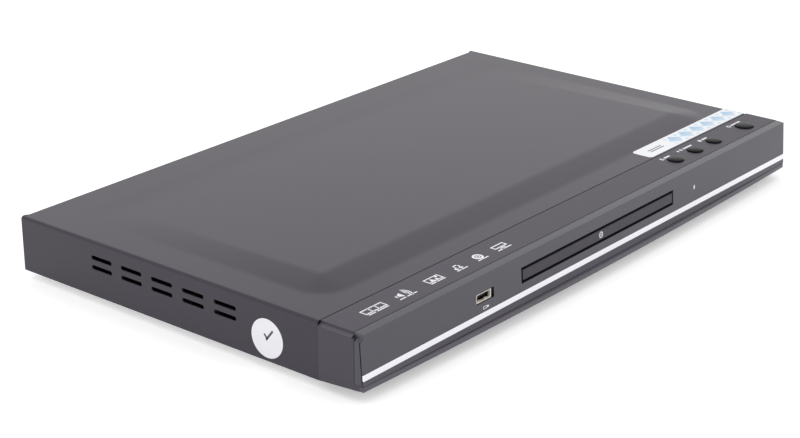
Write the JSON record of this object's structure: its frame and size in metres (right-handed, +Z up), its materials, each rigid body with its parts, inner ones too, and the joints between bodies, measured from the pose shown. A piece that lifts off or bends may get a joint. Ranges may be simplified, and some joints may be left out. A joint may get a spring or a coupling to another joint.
{
  "type": "dvd player",
  "caption": "Flat full-width disc player: folded steel cover with a raised panel, glossy front with a sliding disc tray, memory-stick socket, silver strip and push buttons.",
  "frame": {"origin": "on the table, under the middle of the whole box", "axes": "+X to the right seen from the front, +Y to the back, +Z up"},
  "size_m": [0.43, 0.2734, 0.0411],
  "materials": {
    "cover_paint": "fine satin dark grey paint",
    "chassis_steel": "plain zinc-coated sheet",
    "bezel_plastic": "fine-grained dark grey moulding",
    "front_gloss": "glossy dark grey",
    "silver_strip": "bright silver film",
    "button_black": "polished black",
    "foot_rubber": "matte black rubber",
    "screw_steel": "black-zinc screws",
    "loader_plastic": "black moulding",
    "tray_plastic": "dark grey moulding",
    "gear_plastic": "natural acetal",
    "belt_rubber": "smooth black rubber",
    "motor_can": "plated steel can",
    "rod_steel": "ground steel",
    "bridge_steel": "pressed sheet",
    "pickup_zinc": "die-cast alloy",
    "lens_glass": "coated lens",
    "board_green": "solder-masked board",
    "board_brown": "paper board",
    "part_black": "black component plastic",
    "can_sleeve": "shrink sleeve",
    "core_steel": "laminated core with taped coil",
    "sink_aluminium": "extruded aluminium",
    "shell_steel": "plated shell",
    "ring_yellow": "yellow",
    "ring_white": "white",
    "ring_red": "red",
    "pipe_clear": "clear light pipe",
    "tongue_white": "white contact tongue",
    "pin_brass": "plated brass",
    "lead_grey": "insulated leads"
  },
  "bodies": {
    "case": {"bottom_chassis": "chassis_steel", "top_cover": "cover_paint", "cover_screws": "screw_steel", "feet": "foot_rubber", "front_bezel": "bezel_plastic", "bezel_screws": "screw_steel", "front_plate": "front_gloss", "silver_trim": "silver_strip", "key_board": "board_green", "tact_switches": "part_black", "status_led": "pipe_clear", "ir_receiver": "part_black", "usb_board": "board_green", "usb_shell": "shell_steel", "usb_tongue": "part_black", "loader_frame": "loader_plastic", "loader_screws": "screw_steel", "clamp_bridge": "bridge_steel", "loading_motor": "motor_can", "drive_belt": "belt_rubber", "power_board": "board_brown", "main_board": "board_green", "board_screws": "screw_steel", "transformer": "core_steel", "bulk_capacitor": "can_sleeve", "output_capacitors": "can_sleeve", "power_heatsink": "sink_aluminium", "board_chips": "part_black", "decoder_heatsink": "sink_aluminium", "jack_block": "part_black", "jack_sleeves": "shell_steel", "jack_ring_yellow": "ring_yellow", "jack_ring_white": "ring_white", "jack_ring_red": "ring_red", "video_shell": "shell_steel", "video_tongue": "part_black", "power_inlet": "part_black", "inlet_pins": "pin_brass", "key_ribbon": "lead_grey", "power_harness": "lead_grey"},
    "tray": {"disc_tray": "tray_plastic", "tray_door": "front_gloss"},
    "tray_gear": {"tray_gear": "gear_plastic"},
    "pulley_gear": {"pulley_gear": "gear_plastic"},
    "motor_pulley": {"motor_pulley": "part_black"},
    "cam_slider": {"cam_slider": "gear_plastic"},
    "traverse": {"traverse_frame": "loader_plastic", "spindle_motor": "motor_can", "guide_rods": "rod_steel", "sled_motor": "motor_can"},
    "turntable": {"turntable": "part_black"},
    "pickup": {"pickup_body": "pickup_zinc", "pickup_lens": "lens_glass"},
    "sled_screw": {"sled_screw": "rod_steel"},
    "clamp": {"clamp_puck": "gear_plastic", "clamp_plate": "bridge_steel"},
    "eject_button": {"eject_button": "button_black"},
    "play_button": {"play_button": "button_black"},
    "stop_button": {"stop_button": "button_black"},
    "power_button": {"power_button": "button_black"}
  },
  "joints": [
    {"name": "tray_slide", "type": "slide", "parent": "case", "child": "tray", "axis": [0, -1, 0], "range_m": [0, 0.134]},
    {"name": "tray_gear_turn", "type": "hinge", "parent": "case", "child": "tray_gear", "pos_m": [0.052, -0.10705, 0.0161], "axis": [0, 0, 1], "range_deg": [-960.7, 1]},
    {"name": "pulley_gear_turn", "type": "hinge", "parent": "case", "child": "pulley_gear", "pos_m": [0.0328, -0.10705, 0.0161], "axis": [0, 0, 1], "range_deg": [-1, 2880.1]},
    {"name": "motor_pulley_turn", "type": "hinge", "parent": "case", "child": "motor_pulley", "pos_m": [-0.0142, -0.10705, 0.02], "axis": [0, 0, 1], "range_deg": [-1, 10365.8]},
    {"name": "traverse_tilt", "type": "hinge", "parent": "case", "child": "traverse", "pos_m": [0, 0.03785, 0.01875], "axis": [1, 0, 0], "range_deg": [0, 2.4]},
    {"name": "cam_slide", "type": "slide", "parent": "case", "child": "cam_slider", "axis": [1, 0, 0], "range_m": [0, 0.0202]},
    {"name": "turntable_spin", "type": "hinge", "parent": "traverse", "child": "turntable", "pos_m": [0, -0.06015, 0.0278], "axis": [0, 0, 1], "continuous": true},
    {"name": "pickup_slide", "type": "slide", "parent": "traverse", "child": "pickup", "axis": [0, 1, 0], "range_m": [0, 0.033]},
    {"name": "sled_screw_turn", "type": "hinge", "parent": "traverse", "child": "sled_screw", "pos_m": [0.033, -0.04615, 0.0182], "axis": [0, 1, 0], "range_deg": [-1, 3961]},
    {"name": "clamp_spin", "type": "hinge", "parent": "case", "child": "clamp", "pos_m": [0, -0.06015, 0.0316], "axis": [0, 0, 1], "continuous": true},
    {"name": "eject_button_press", "type": "slide", "parent": "case", "child": "eject_button", "axis": [0, 0, -1], "range_m": [0, 0.0008], "stiffness_N_per_m": 1500},
    {"name": "play_button_press", "type": "slide", "parent": "case", "child": "play_button", "axis": [0, 0, -1], "range_m": [0, 0.0008], "stiffness_N_per_m": 1500},
    {"name": "stop_button_press", "type": "slide", "parent": "case", "child": "stop_button", "axis": [0, 0, -1], "range_m": [0, 0.0008], "stiffness_N_per_m": 1500},
    {"name": "power_button_press", "type": "slide", "parent": "case", "child": "power_button", "axis": [0, 0, -1], "range_m": [0, 0.0008], "stiffness_N_per_m": 1500}
  ],
  "couplings": [
    {"joint": "tray_gear_turn", "follows": "tray_slide", "rad_per_m": -125},
    {"joint": "pulley_gear_turn", "follows": "tray_slide", "rad_per_m": 375},
    {"joint": "motor_pulley_turn", "follows": "tray_slide", "rad_per_m": 1350},
    {"joint": "cam_slide", "follows": "traverse_tilt", "m_per_rad": 0.47746},
    {"joint": "sled_screw_turn", "follows": "pickup_slide", "rad_per_m": 2094.4}
  ]
}
